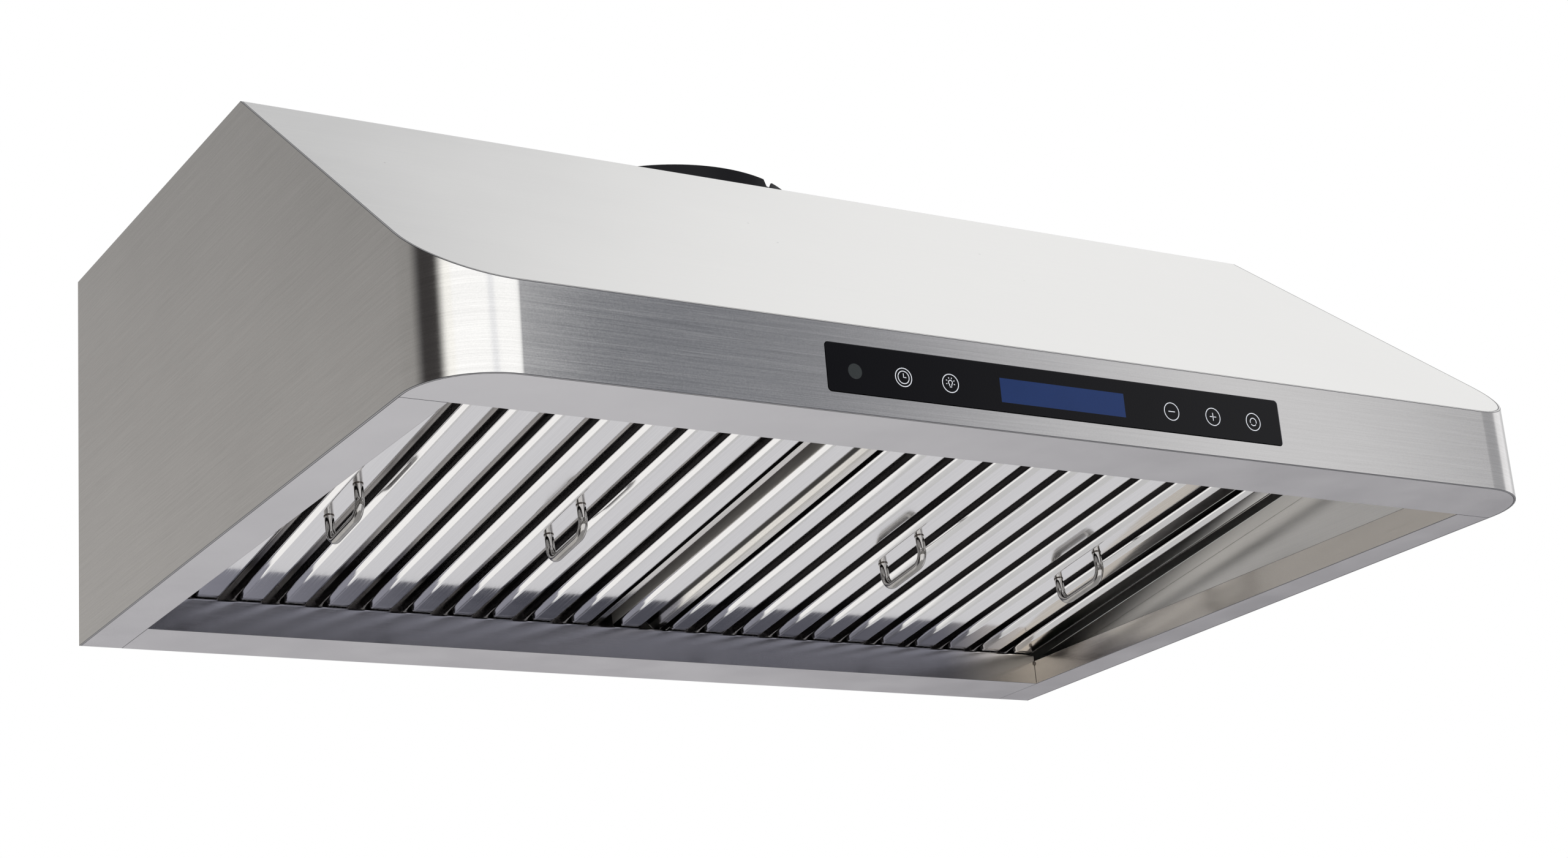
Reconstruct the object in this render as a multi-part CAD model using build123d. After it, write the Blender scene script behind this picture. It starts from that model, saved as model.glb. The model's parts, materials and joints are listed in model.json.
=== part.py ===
from build123d import *
import math
import os

# Under cabinet range hood, 30 inch: a stainless canopy that hangs under a wall cabinet, with a
# sloped front, a touch control band, two swing-down baffle filters, a double inlet centrifugal
# blower and a round duct collar with a butterfly backdraft damper.
#
# Frame, in millimetres: +X to the right seen from the front, the front faces -Y, +Z up. The
# origin is on the top face, at the centre of the four cabinet screw holes.

# ---- Driving dimensions -------------------------------------------------------------------

WIDTH = 762.0
DEPTH = 558.8
HEIGHT = 254.0
TOP_DEPTH = 304.8
BAND_HEIGHT = 50.8
CORNER_RADIUS = 47.0
SHEET = 1.2
OVERCUT = 5.0

SIDE_FLANGE = 28.5
END_FLANGE = 50.8
SIDE_LIP = 18.0
REAR_LIP = 23.0
HEM_RADIUS = 1.6

FILTER_TILT = 8.0
FILTER_REAR = 5.8
FILTER_FRONT = -390.6
FILTER_DEPTH = 18.0
FILTER_INNER = 16.3
FILTER_OUTER = 351.1
FILTER_CENTRE = 190.5
FRAME_SHEET = 0.8
INNER_RAIL_Z = 2.3
INNER_RAIL_WIDTH = 11.2
INNER_RAIL_BEVEL = 5.7
FRAME_LIP = 6.0
HINGE_GAP = 0.4
HOOK_TAIL = 3.0
HOOK_MARGIN = 16.0

RIDGES = 11
RIDGE_PITCH = 30.4
RIDGE_HALF_FACE = 7.0
RIDGE_HALF_WIDTH = 9.9
RIDGE_CHAMFER = 2.9
FIRST_RIDGE_WALL = 6.2
RIDGE_WALL_TOP = 9.0
BAFFLE_SHEET = 0.8
BAFFLE_BEND = 2.5
REAR_HALF_WIDTH = 9.6
REAR_FACE_Z = 16.4
REAR_WALL_BOTTOM = 5.0
REAR_CHAMFER = 3.0

HANDLE_RADIUS = 3.0
HANDLE_BEND = 9.0
HANDLE_HEIGHT = 19.0
HANDLE_START = 135.1
HANDLE_SPAN = 46.8
HANDLE_RIDGES = (-2, 3)

STRIP_FLANGE = 30.0
SEAT_Z = 19.4
SEAT_SHEET = 1.0
LEDGE_INNER = 362.5
LEDGE_SEAT = 345.0

LAMP_PANEL_BEHIND_LIP = 0.4
LAMP_PANEL_ABOVE_LIP = 1.4
LAMP_PANEL_REAR = -291.2
LAMP_PANEL_RISE = 76.0
LAMP_PANEL_UPRIGHT = 30.0
LAMP_X = 190.0
LAMP_RADIUS = 30.0
LAMP_DEPTH = 20.0
LENS_RADIUS = 27.0
LENS_THICKNESS = 1.4
BEZEL_RADIUS = 34.0
BEZEL_THICKNESS = 2.0
BEZEL_CHAMFER = 0.8
CATCH_OFFSET = 100.0
CATCH_WIDTH = 24.0
CATCH_HEIGHT = 24.0
CATCH_DROP = 4.0
CATCH_LEAF = 0.6
CATCH_BULGE = 5.0

GLASS_WIDTH = 317.2
GLASS_HEIGHT = 27.6
GLASS_THICKNESS = 3.0
GLASS_PROUD = 0.3
GLASS_X = 5.2
GLASS_Z = -228.8
GLASS_CORNER = 2.0
DISPLAY_WIDTH = 87.0
DISPLAY_HEIGHT = 14.3
DISPLAY_X = 4.0
DISPLAY_Z = -230.0
SENSOR_X = -135.7
SENSOR_RADIUS = 4.4
PANE_RECESS = 0.05
FIT_GAP = 0.2
BOARD_MARGIN = 4.0
BOARD_HALF_HEIGHT = 12.0
BOARD_GAP = 1.0
BOARD_THICKNESS = 1.6
TRAY_MARGIN = 8.0
TRAY_WALL = 2.0
TRAY_DEPTH = 16.0
TRAY_RIM = 6.0
TRAY_HALF_HEIGHT = 18.5

COLLAR_Y = 28.4
COLLAR_RADIUS = 101.0
COLLAR_HEIGHT = 50.0
COLLAR_FLANGE = 117.0
COLLAR_SCREWS = 6
COLLAR_SCREW_START = 30.0
COLLAR_SEAM = -66.5
NOTCH_DEPTH = 4.5
NOTCH_HALF_WIDTH = 4.9
NOTCH_HALF_ROOT = 2.0
RECESS_HALF = 119.0
SCREW_HOLE = 2.1
SCREW_RADIUS = 1.9
SCREW_LENGTH = 8.0
SCREW_HEAD_RADIUS = 3.6
SCREW_HEAD_HEIGHT = 2.2
SCREW_DRIVE = 2.2
SCREW_DRIVE_HALF = 0.4
SCREW_DRIVE_DEPTH = 0.9

DAMPER_Z = 14.0
DAMPER_PIN_X = 6.0
DAMPER_PIN_RADIUS = 2.0
DAMPER_PIN_END = 96.0
DAMPER_RADIUS = 97.0
DAMPER_PLATE = 1.2
DAMPER_KNUCKLE = 3.4
DAMPER_KNUCKLE_HALF = 15.0
DAMPER_KNUCKLE_PITCH = 66.0
DAMPER_EDGE = 2.6
BOSS_DEPTH = 9.0
BOSS_HALF_WIDTH = 10.0
BOSS_HALF_HEIGHT = 5.0
BOSS_ROOM = 14.0
STOP_HALF_WIDTH = 8.0
STOP_THICKNESS = 2.0
RUNNING_GAP = 0.05

BLOWER_Y = -6.0
BLOWER_Z = -108.0
SCROLL_HALF_WIDTH = 75.0
SCROLL_START = 66.0
SCROLL_END = 92.0
SCROLL_STEPS = 24
PLENUM_BOTTOM = -32.0
PLENUM_HALF = 104.0
IMPELLER_RADIUS = 58.0
IMPELLER_HALF_WIDTH = 52.0
IMPELLER_RING_WIDTH = 12.0
IMPELLER_SHEET = 1.5
HUB_RADIUS = 11.0
HUB_LENGTH = 24.0
BLADES = 30
BLADE_CHORD = 10.0
BLADE_SHEET = 0.8
BLADE_ANGLE = 35.0
BLADE_INSET = 6.5
INLET_RADIUS = 50.0
SHAFT_RADIUS = 4.0
SHAFT_START = -128.0
SHAFT_END = 13.0
MOTOR_RADIUS = 45.0
MOTOR_START = -136.0
MOTOR_END = -64.0
MOTOR_ROUND = 5.0
MOTOR_BOSS_RADIUS = 14.0
MOTOR_BOSS_REAR = 8.0
MOTOR_BOSS_FRONT = 6.0
BRACKET_RING = 3.0
BRACKET_DEPTH = 14.0
BRACKET_SHEET = 4.0
BRACKET_ARMS = 3
BRACKET_ARM_HALF = 9.0
CAPACITOR_X = -150.0
CAPACITOR_Y = -60.0
CAPACITOR_RADIUS = 16.0
CAPACITOR_BOTTOM = -62.0
CAPACITOR_FOOT_X = 22.0
CAPACITOR_FOOT_Y = 14.0

CABINET_HOLE_X = 300.0
CABINET_HOLE_Y = 100.0
CABINET_HOLE_RADIUS = 3.5
WALL_HOLE_X = 250.0
WALL_HOLE_Z = -40.0
WALL_HOLE_RADIUS = 4.0
KNOCKOUT_RADIUS = 11.1
WIRING_X = 240.0
WIRING_Y = 60.0
WIRING_OPENING_X = 30.0
WIRING_OPENING_Y = 18.0
JUNCTION_HALF_X = 44.0
JUNCTION_HALF_Y = 34.0
JUNCTION_BOTTOM = -48.0
JUNCTION_WALL = 1.0
POWER_BOX_X = (-320.0, -200.0)
POWER_BOX_Y = (20.0, 90.0)
POWER_BOX_BOTTOM = -45.0
DRIVER_X = (150.0, 230.0)
DRIVER_Y = (-110.0, -70.0)
DRIVER_BOTTOM = -26.0
BOX_ROUND = 3.0

# ---- Places that follow from them -----------------------------------------------------------

HALF = WIDTH / 2
BACK = TOP_DEPTH / 2
FRONT = BACK - DEPTH
RIM = -HEIGHT
CREASE_Y = BACK - TOP_DEPTH
BAND_TOP = RIM + BAND_HEIGHT
SLOPE = -BAND_TOP / (CREASE_Y - FRONT)
SLOPE_DROP = SHEET * math.hypot(1, SLOPE)
MOUTH_BACK = BACK - END_FLANGE
MOUTH_FRONT = FRONT + END_FLANGE
MOUTH_SIDE = HALF - SIDE_FLANGE
HINGE_Y = MOUTH_BACK + HEM_RADIUS
HINGE_Z = RIM + REAR_LIP - HEM_RADIUS
FACE_OFFSET = HEM_RADIUS + HINGE_GAP
FILTER_PLACE = Pos(0, HINGE_Y, HINGE_Z) * Rot(-FILTER_TILT, 0, 0) * Pos(0, 0, FACE_OFFSET)
COLLAR_BORE = COLLAR_RADIUS - SHEET
RECESS_FLOOR = -2 * SHEET
INNER_SIDE = HALF - SHEET

# Corner points of the lamp panel in the YZ plane: at the front lip, at the bend and at the top.
LAMP_PANEL_LOW = (MOUTH_FRONT - LAMP_PANEL_BEHIND_LIP, RIM + SIDE_LIP + LAMP_PANEL_ABOVE_LIP)
LAMP_PANEL_BEND = (LAMP_PANEL_REAR, RIM + LAMP_PANEL_RISE)
LAMP_PANEL_TOP = (LAMP_PANEL_REAR, RIM + LAMP_PANEL_RISE + LAMP_PANEL_UPRIGHT)


# ---- Small helpers --------------------------------------------------------------------------

def block(x0, x1, y0, y1, z0, z1):
    """Box between two opposite corners."""
    centre = Pos((x0 + x1) / 2, (y0 + y1) / 2, (z0 + z1) / 2)
    return centre * Box(x1 - x0, y1 - y0, z1 - z0)


def rod_x(radius, x0, x1, y, z):
    """Round rod along X."""
    return Pos((x0 + x1) / 2, y, z) * Rot(0, 90, 0) * Cylinder(radius, x1 - x0)


def rod_y(radius, y0, y1, x, z):
    """Round rod along Y."""
    return Pos(x, (y0 + y1) / 2, z) * Rot(90, 0, 0) * Cylinder(radius, y1 - y0)


def rod_z(radius, z0, z1, x, y):
    """Round rod along Z."""
    return Pos(x, y, (z0 + z1) / 2) * Cylinder(radius, z1 - z0)


def prism_x(points, x0, x1):
    """Solid between two X planes on a polygon given as (y, z) points."""
    face = Plane.YZ * make_face(Polyline(*points, close=True))
    return Pos(x0, 0, 0) * extrude(face, amount=x1 - x0)


def strip_face(points, thickness, bend):
    """Face of a bent sheet that follows the given centre line."""
    return trace(FilletPolyline(*points, radius=bend), line_width=thickness)


def mirrored(shape):
    """The same shape on the other side of the hood."""
    return mirror(shape, about=Plane.YZ)


def group(shapes):
    """Separate solids kept together in one node."""
    return Compound([solid for shape in shapes for solid in shape.solids()])


# ---- Outer shell ----------------------------------------------------------------------------

def plan_face(inset, back):
    """Plan outline of the canopy with its two rounded front corners."""
    half = HALF - inset
    corners = ((half, back), (half, FRONT + inset), (-half, FRONT + inset), (-half, back))
    face = make_face(Polyline(*corners, close=True))
    return fillet(face.vertices().sort_by(Axis.Y)[:2], CORNER_RADIUS - inset)


def plan_column(inset, back):
    """The plan outline as a column through the whole height."""
    return Pos(0, 0, RIM) * extrude(plan_face(inset, back), amount=HEIGHT)


def glass_pocket(gap, y0, y1):
    """Rounded slot through the front band for the control glass."""
    face = RectangleRounded(GLASS_WIDTH + 2 * gap, GLASS_HEIGHT + 2 * gap, GLASS_CORNER + gap)
    return Pos(GLASS_X, y1, GLASS_Z) * extrude(Plane.XZ * face, amount=y1 - y0)


def outer_wrap():
    """Both side panels and the front band, bent from one sheet."""
    tube = plan_column(0, BACK) - plan_column(SHEET, BACK + SHEET)
    profile = ((BACK, RIM), (BACK, 0), (CREASE_Y, 0), (FRONT, BAND_TOP), (FRONT, RIM))
    pocket = glass_pocket(FIT_GAP, FRONT - OVERCUT, FRONT + OVERCUT)
    return (tube & prism_x(profile, -HALF, HALF)) - pocket


def inner_crease():
    """Point under the top crease where the inner faces of top and slope meet."""
    return (CREASE_Y + (SLOPE_DROP - SHEET) / SLOPE, -SHEET)


def slope_panel():
    """Sloped front face, welded flush inside the wrap's upper edge."""
    profile = ((CREASE_Y, 0), (FRONT, BAND_TOP), (FRONT, BAND_TOP - SLOPE_DROP), inner_crease())
    return prism_x(profile, -HALF, HALF) & plan_column(SHEET, BACK)


def duct_recess(margin, floor):
    """Square column of the pressed recess around the duct hole."""
    half = RECESS_HALF + margin
    return block(-half, half, COLLAR_Y - half, COLLAR_Y + half, floor, 0)


def top_panel():
    """Flat top with the duct recess, the cabinet screw holes and the wiring opening."""
    profile = ((CREASE_Y, 0), (BACK, 0), (BACK, -SHEET), inner_crease())
    panel = prism_x(profile, -INNER_SIDE, INNER_SIDE)
    panel = panel + duct_recess(SHEET, RECESS_FLOOR) - duct_recess(0, -SHEET)
    panel -= rod_z(COLLAR_BORE, -OVERCUT, OVERCUT, 0, COLLAR_Y)
    for x in (-CABINET_HOLE_X, CABINET_HOLE_X):
        for y in (-CABINET_HOLE_Y, CABINET_HOLE_Y):
            panel -= rod_z(CABINET_HOLE_RADIUS, -OVERCUT, OVERCUT, x, y)
    for spot in collar_screw_spots():
        panel -= rod_z(SCREW_HOLE, -OVERCUT, OVERCUT, *spot)
    left, right = WIRING_X - WIRING_OPENING_X, WIRING_X + WIRING_OPENING_X
    front, back = WIRING_Y - WIRING_OPENING_Y, WIRING_Y + WIRING_OPENING_Y
    return panel - block(left, right, front, back, -OVERCUT, OVERCUT)


def back_panel():
    """Flat back with two holes for wall screws."""
    panel = block(-INNER_SIDE, INNER_SIDE, BACK - SHEET, BACK, RIM + SHEET, -SHEET)
    for x in (-WALL_HOLE_X, WALL_HOLE_X):
        panel -= rod_y(WALL_HOLE_RADIUS, BACK - OVERCUT, BACK + OVERCUT, x, WALL_HOLE_Z)
    return panel


def rim_front():
    """Wide front flange of the rim, with its upturned lip."""
    floor = block(-HALF, HALF, FRONT, MOUTH_FRONT, RIM, RIM + SHEET) & plan_column(SHEET, BACK)
    lip = block(-MOUTH_SIDE, MOUTH_SIDE, MOUTH_FRONT - SHEET, MOUTH_FRONT, RIM, RIM + SIDE_LIP)
    return floor + lip


def rim_back():
    """Rear flange, whose lip ends in a rolled hem that the filters pivot on."""
    floor = block(-MOUTH_SIDE, MOUTH_SIDE, MOUTH_BACK, BACK, RIM, RIM + SHEET)
    lip = block(-MOUTH_SIDE, MOUTH_SIDE, MOUTH_BACK, MOUTH_BACK + SHEET, RIM, HINGE_Z)
    hem = rod_x(HEM_RADIUS, -MOUTH_SIDE, MOUTH_SIDE, HINGE_Y, HINGE_Z)
    return floor + lip + hem


def rim_side():
    """Right side flange, which runs on to the back face, with its upturned lip."""
    floor = block(MOUTH_SIDE, INNER_SIDE, MOUTH_FRONT, BACK, RIM, RIM + SHEET)
    lip = block(MOUTH_SIDE, MOUTH_SIDE + SHEET, MOUTH_FRONT, MOUTH_BACK + SHEET, RIM, RIM + SIDE_LIP)
    return floor + lip


def side_ledge():
    """Right Z-shaped rail: a sloped ledge to the side panel and a seat over the filter."""
    front, top = FILTER_FRONT + 1, SEAT_Z + SEAT_SHEET
    rail = block(LEDGE_INNER, INNER_SIDE, front, 0, 0, SEAT_SHEET)
    rail += block(LEDGE_INNER, LEDGE_INNER + SEAT_SHEET, front, 0, 0, top)
    rail += block(LEDGE_SEAT, LEDGE_INNER + SEAT_SHEET, front, 0, SEAT_Z, top)
    return FILTER_PLACE * rail


# ---- Baffle filters, modelled flat with the pivot line at y = 0 and then tilted into place ----

def ridge_face(first):
    """Section of a lower baffle; the first one has a plain wall on its inner side."""
    half = BAFFLE_SHEET / 2
    right = (
        (RIDGE_HALF_FACE, half),
        (RIDGE_HALF_WIDTH, half + RIDGE_CHAMFER),
        (RIDGE_HALF_WIDTH, RIDGE_WALL_TOP),
    )
    left = tuple((-x, z) for x, z in reversed(right))
    if first:
        left = ((-FIRST_RIDGE_WALL, RIDGE_WALL_TOP), (-FIRST_RIDGE_WALL, half))
    return strip_face(left + right, BAFFLE_SHEET, BAFFLE_BEND)


def rear_baffle_face():
    """Section of an upper baffle: an inverted channel over the gap between two ridges."""
    right = (
        (REAR_HALF_WIDTH - REAR_CHAMFER, REAR_FACE_Z),
        (REAR_HALF_WIDTH, REAR_FACE_Z - REAR_CHAMFER),
        (REAR_HALF_WIDTH, REAR_WALL_BOTTOM),
    )
    left = tuple((-x, z) for x, z in reversed(right))
    return strip_face(left + right, BAFFLE_SHEET, BAFFLE_BEND)


def baffle(face, x):
    """One baffle strip between the end rails of a filter."""
    length = FILTER_REAR - FILTER_FRONT - 2 * FRAME_SHEET
    return Pos(x, FILTER_REAR - FRAME_SHEET, 0) * extrude(Plane.XZ * face, amount=length)


def ridge_x(index):
    """Centre of a ridge, counted from the middle ridge of the right filter."""
    return FILTER_CENTRE + index * RIDGE_PITCH


def front_baffles():
    """Lower row of ridges of the right filter; the last one ends at the outer rail."""
    reach = RIDGES // 2
    limit = FILTER_OUTER - FRAME_SHEET
    rail = block(limit, HALF, FILTER_FRONT, FILTER_REAR, -FILTER_DEPTH, FILTER_DEPTH)
    ridges = [baffle(ridge_face(i == -reach), ridge_x(i)) for i in range(-reach, reach + 1)]
    return [FILTER_PLACE * (ridge - rail) for ridge in ridges]


def rear_baffles():
    """Upper row of channels of the right filter."""
    reach = RIDGES // 2
    face = rear_baffle_face()
    return [FILTER_PLACE * baffle(face, ridge_x(i + 0.5)) for i in range(-reach, reach)]


def inner_rail_face():
    """Section of the rail beside the centre strip: an upright wall, a bevel and a flat edge."""
    half = FRAME_SHEET / 2
    wall, face_z = FILTER_INNER + half, INNER_RAIL_Z + half
    points = (
        (wall, FILTER_DEPTH - half),
        (wall, face_z + INNER_RAIL_BEVEL),
        (wall + INNER_RAIL_BEVEL, face_z),
        (FILTER_INNER + INNER_RAIL_WIDTH, face_z),
    )
    return strip_face(points, FRAME_SHEET, BAFFLE_BEND)


def end_rail(rear):
    """Upright rail across one end of a filter, bevelled like its inner rail."""
    step = FILTER_INNER + INNER_RAIL_WIDTH
    points = (
        (FILTER_INNER, FILTER_DEPTH),
        (FILTER_INNER, INNER_RAIL_Z + INNER_RAIL_BEVEL),
        (FILTER_INNER + INNER_RAIL_BEVEL, INNER_RAIL_Z),
        (step, INNER_RAIL_Z),
        (step, 0),
        (FILTER_OUTER, 0),
        (FILTER_OUTER, FILTER_DEPTH),
    )
    face = make_face(Polyline(*points, close=True))
    return Pos(0, rear, 0) * extrude(Plane.XZ * face, amount=FRAME_SHEET)


def filter_frame():
    """Rail frame of the right filter, with the tail that hooks behind the hem."""
    inner, outer, depth, sheet = FILTER_INNER, FILTER_OUTER, FILTER_DEPTH, FRAME_SHEET
    rear, front, lip = FILTER_REAR, FILTER_FRONT, FRAME_LIP
    frame = end_rail(rear) + end_rail(front + sheet)
    frame += Pos(0, rear, 0) * extrude(Plane.XZ * inner_rail_face(), amount=rear - front)
    frame += block(outer - sheet, outer, front, rear, 0, depth)
    top = block(inner, outer, front, rear, depth - sheet, depth)
    frame += top - block(inner + lip, outer - lip, front + lip, rear - lip, 0, 2 * depth)
    frame += block(inner + HOOK_MARGIN, outer - HOOK_MARGIN, rear - sheet, rear, -HOOK_TAIL, sheet)
    return FILTER_PLACE * frame


def handle(x):
    """U-shaped wire pull welded to one ridge."""
    start, end = -HANDLE_START, -HANDLE_START - HANDLE_SPAN
    path = FilletPolyline(
        (x, start, 0),
        (x, start, -HANDLE_HEIGHT),
        (x, end, -HANDLE_HEIGHT),
        (x, end, 0),
        radius=HANDLE_BEND,
    )
    section = Plane((x, start, 0), z_dir=(0, 0, -1)) * Circle(HANDLE_RADIUS)
    return FILTER_PLACE * sweep(section, path=path)


def filter_handles():
    """Both pulls of the right filter."""
    return [handle(ridge_x(index)) for index in HANDLE_RIDGES]


def centre_strip():
    """Fixed ridge between the two filters, with flanges over their inner rails."""
    face_z, seat = BAFFLE_SHEET / 2, SEAT_Z + SEAT_SHEET / 2
    right = (
        (RIDGE_HALF_FACE, face_z),
        (RIDGE_HALF_WIDTH, face_z + RIDGE_CHAMFER),
        (RIDGE_HALF_WIDTH, seat),
        (STRIP_FLANGE, seat),
    )
    left = tuple((-x, z) for x, z in reversed(right))
    return FILTER_PLACE * baffle(strip_face(left + right, BAFFLE_SHEET, BAFFLE_BEND), 0)


# ---- Lamp panel and what it carries ---------------------------------------------------------

def lamp_plane(x):
    """Plane on the underside of the lamp panel at a lamp, its normal pointing down and back."""
    (y0, z0), (y1, z1) = LAMP_PANEL_LOW, LAMP_PANEL_BEND
    run, rise = y1 - y0, z1 - z0
    normal = Vector(0, rise, -run).normalized()
    middle = Vector(x, (y0 + y1) / 2, (z0 + z1) / 2)
    return Plane(origin=middle + normal * (SHEET / 2), x_dir=(1, 0, 0), z_dir=normal)


def lamp_panel():
    """Slanted panel from the front lip up to the filters, with two lamp holes."""
    line = Polyline(LAMP_PANEL_LOW, LAMP_PANEL_BEND, LAMP_PANEL_TOP)
    face = Plane.YZ * trace(line, line_width=SHEET)
    panel = Pos(-INNER_SIDE, 0, 0) * extrude(face, amount=2 * INNER_SIDE)
    for x in (-LAMP_X, LAMP_X):
        panel -= lamp_plane(x) * Cylinder(LAMP_RADIUS + FIT_GAP, 2 * OVERCUT)
    return panel


def lamp_body(x):
    """Round lamp housing behind the panel."""
    return lamp_plane(x) * Pos(0, 0, -LAMP_DEPTH / 2) * Cylinder(LAMP_RADIUS, LAMP_DEPTH)


def lamp_bezel(x):
    """Trim ring on the underside of the panel."""
    ring = Cylinder(BEZEL_RADIUS, BEZEL_THICKNESS) - Cylinder(LENS_RADIUS, BEZEL_THICKNESS)
    rim = ring.edges().group_by(Axis.Z)[-1].sort_by(SortBy.RADIUS)[-1:]
    return lamp_plane(x) * Pos(0, 0, BEZEL_THICKNESS / 2) * chamfer(rim, BEZEL_CHAMFER)


def lamp_lens(x):
    """Frosted lens inside the trim ring."""
    return lamp_plane(x) * Pos(0, 0, LENS_THICKNESS / 2) * Cylinder(LENS_RADIUS, LENS_THICKNESS)


def filter_catch(x):
    """Leaf spring that faces the front rail of a filter."""
    y, z = LAMP_PANEL_TOP[0] + SHEET / 2, LAMP_PANEL_TOP[1] - CATCH_DROP
    flat, middle = y + CATCH_LEAF / 2, z - CATCH_HEIGHT / 2
    line = Polyline((flat, z), (y + CATCH_BULGE, middle), (flat, z - CATCH_HEIGHT))
    face = Plane.YZ * trace(line, line_width=CATCH_LEAF)
    column = block(-HALF, HALF, y, y + 2 * CATCH_BULGE, RIM, 0)
    return (Pos(x - CATCH_WIDTH / 2, 0, 0) * extrude(face, amount=CATCH_WIDTH)) & column


def filter_catches():
    """Two leaf springs for each filter."""
    offsets = (-CATCH_OFFSET, CATCH_OFFSET)
    return [filter_catch(side * (FILTER_CENTRE + offset)) for side in (-1, 1) for offset in offsets]


# ---- Touch control --------------------------------------------------------------------------

def display_pane(y0, y1):
    """Rectangular column through the control glass at the display."""
    half_width, half_height = DISPLAY_WIDTH / 2, DISPLAY_HEIGHT / 2
    left, right = DISPLAY_X - half_width, DISPLAY_X + half_width
    return block(left, right, y0, y1, DISPLAY_Z - half_height, DISPLAY_Z + half_height)


def sensor_pane(y0, y1):
    """Round column through the control glass at the sensor."""
    column = Rot(90, 0, 0) * Cylinder(SENSOR_RADIUS, y1 - y0)
    return Pos(SENSOR_X, (y0 + y1) / 2, DISPLAY_Z) * column


def touch_glass():
    """Black control glass with the openings for the display and the sensor."""
    face, back = FRONT - GLASS_PROUD, FRONT - GLASS_PROUD + GLASS_THICKNESS
    near, far = face - OVERCUT, back + OVERCUT
    return glass_pocket(0, face, back) - display_pane(near, far) - sensor_pane(near, far)


def display_window():
    """Backlit display pane, a hair behind the face of the glass."""
    face, back = FRONT - GLASS_PROUD + PANE_RECESS, FRONT - GLASS_PROUD + GLASS_THICKNESS
    return display_pane(face, back)


def sensor_window():
    """Remote control receiver window."""
    face, back = FRONT - GLASS_PROUD + PANE_RECESS, FRONT - GLASS_PROUD + GLASS_THICKNESS
    return sensor_pane(face, back)


def control_board():
    """Circuit board behind the glass."""
    y = FRONT - GLASS_PROUD + GLASS_THICKNESS + BOARD_GAP
    half = GLASS_WIDTH / 2 - BOARD_MARGIN
    low, high = GLASS_Z - BOARD_HALF_HEIGHT, GLASS_Z + BOARD_HALF_HEIGHT
    return block(GLASS_X - half, GLASS_X + half, y, y + BOARD_THICKNESS, low, high)


def control_tray():
    """Plastic tray that holds glass and board to the back of the band."""
    y0, y1 = FRONT + SHEET, FRONT + TRAY_DEPTH
    half, room = GLASS_WIDTH / 2 + TRAY_MARGIN, TRAY_HALF_HEIGHT - TRAY_WALL
    left, right = GLASS_X - half, GLASS_X + half
    tray = block(left, right, y0, y1, GLASS_Z - TRAY_HALF_HEIGHT, GLASS_Z + TRAY_HALF_HEIGHT)
    floor, back = y0 + TRAY_RIM, y1 - TRAY_WALL
    tray -= block(left + TRAY_WALL, right - TRAY_WALL, floor, back, GLASS_Z - room, GLASS_Z + room)
    return tray - glass_pocket(FIT_GAP, y0 - OVERCUT, floor + FIT_GAP)


# ---- Duct collar and damper -----------------------------------------------------------------

def collar_screw_spots():
    """Places of the collar screws on the flange."""
    radius = (COLLAR_RADIUS + COLLAR_FLANGE) / 2
    step = 360 / COLLAR_SCREWS
    angles = [math.radians(COLLAR_SCREW_START + step * i) for i in range(COLLAR_SCREWS)]
    return [(radius * math.cos(a), COLLAR_Y + radius * math.sin(a)) for a in angles]


def collar_ring(inner, outer, z0, z1):
    """Ring around the duct's axis."""
    return rod_z(outer, z0, z1, 0, COLLAR_Y) - rod_z(inner, z0, z1, 0, COLLAR_Y)


def collar_inner(depth, half_width, z0, z1):
    """Two blocks on opposite sides of the bore that run across it along Y."""
    reach = COLLAR_RADIUS
    bar = block(-half_width, half_width, COLLAR_Y - reach, COLLAR_Y + reach, z0, z1)
    room = COLLAR_BORE - depth
    bar -= block(-half_width, half_width, COLLAR_Y - room, COLLAR_Y + room, z0, z1)
    return bar & rod_z(COLLAR_BORE + FIT_GAP, z0, z1, 0, COLLAR_Y)


def duct_collar():
    """Rolled collar with damper bosses and stops, and a seam notch in the rim."""
    z = DAMPER_Z
    turn = Pos(0, COLLAR_Y, 0) * Rot(0, 0, 90) * Pos(0, -COLLAR_Y, 0)
    collar = collar_ring(COLLAR_BORE, COLLAR_RADIUS, 0, COLLAR_HEIGHT)
    collar += collar_inner(BOSS_DEPTH, BOSS_HALF_WIDTH, z - BOSS_HALF_HEIGHT, z + BOSS_HALF_HEIGHT)
    stop_top = z - DAMPER_PLATE / 2 - 2 * FIT_GAP
    collar += turn * collar_inner(BOSS_DEPTH, STOP_HALF_WIDTH, stop_top - STOP_THICKNESS, stop_top)
    for x in (-DAMPER_PIN_X, DAMPER_PIN_X):
        collar -= damper_pin(x)
    return collar - seam_notch()


def collar_flange():
    """Base ring under the collar, held down by the collar screws."""
    flange = collar_ring(COLLAR_BORE, COLLAR_FLANGE, -SHEET, 0)
    for spot in collar_screw_spots():
        flange -= rod_z(SCREW_HOLE, -OVERCUT, OVERCUT, *spot)
    return flange


def seam_notch():
    """Small vee cut in the collar's rim where its rolled ends meet."""
    top, root = NOTCH_HALF_WIDTH, NOTCH_HALF_ROOT
    vee = Polyline((-top, 0), (-root, -NOTCH_DEPTH), (root, -NOTCH_DEPTH), (top, 0), close=True)
    cut = extrude(Plane.YZ * make_face(vee), amount=2 * OVERCUT)
    place = Pos(0, COLLAR_Y, COLLAR_HEIGHT) * Rot(0, 0, COLLAR_SEAM)
    return place * Pos(COLLAR_RADIUS - OVERCUT, 0, 0) * cut


def damper_pin(x):
    """Hinge pin across the collar."""
    return rod_y(DAMPER_PIN_RADIUS, COLLAR_Y - DAMPER_PIN_END, COLLAR_Y + DAMPER_PIN_END, x, DAMPER_Z)


def damper_pins():
    """The hinge pins of both flaps."""
    return [damper_pin(-DAMPER_PIN_X), damper_pin(DAMPER_PIN_X)]


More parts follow.
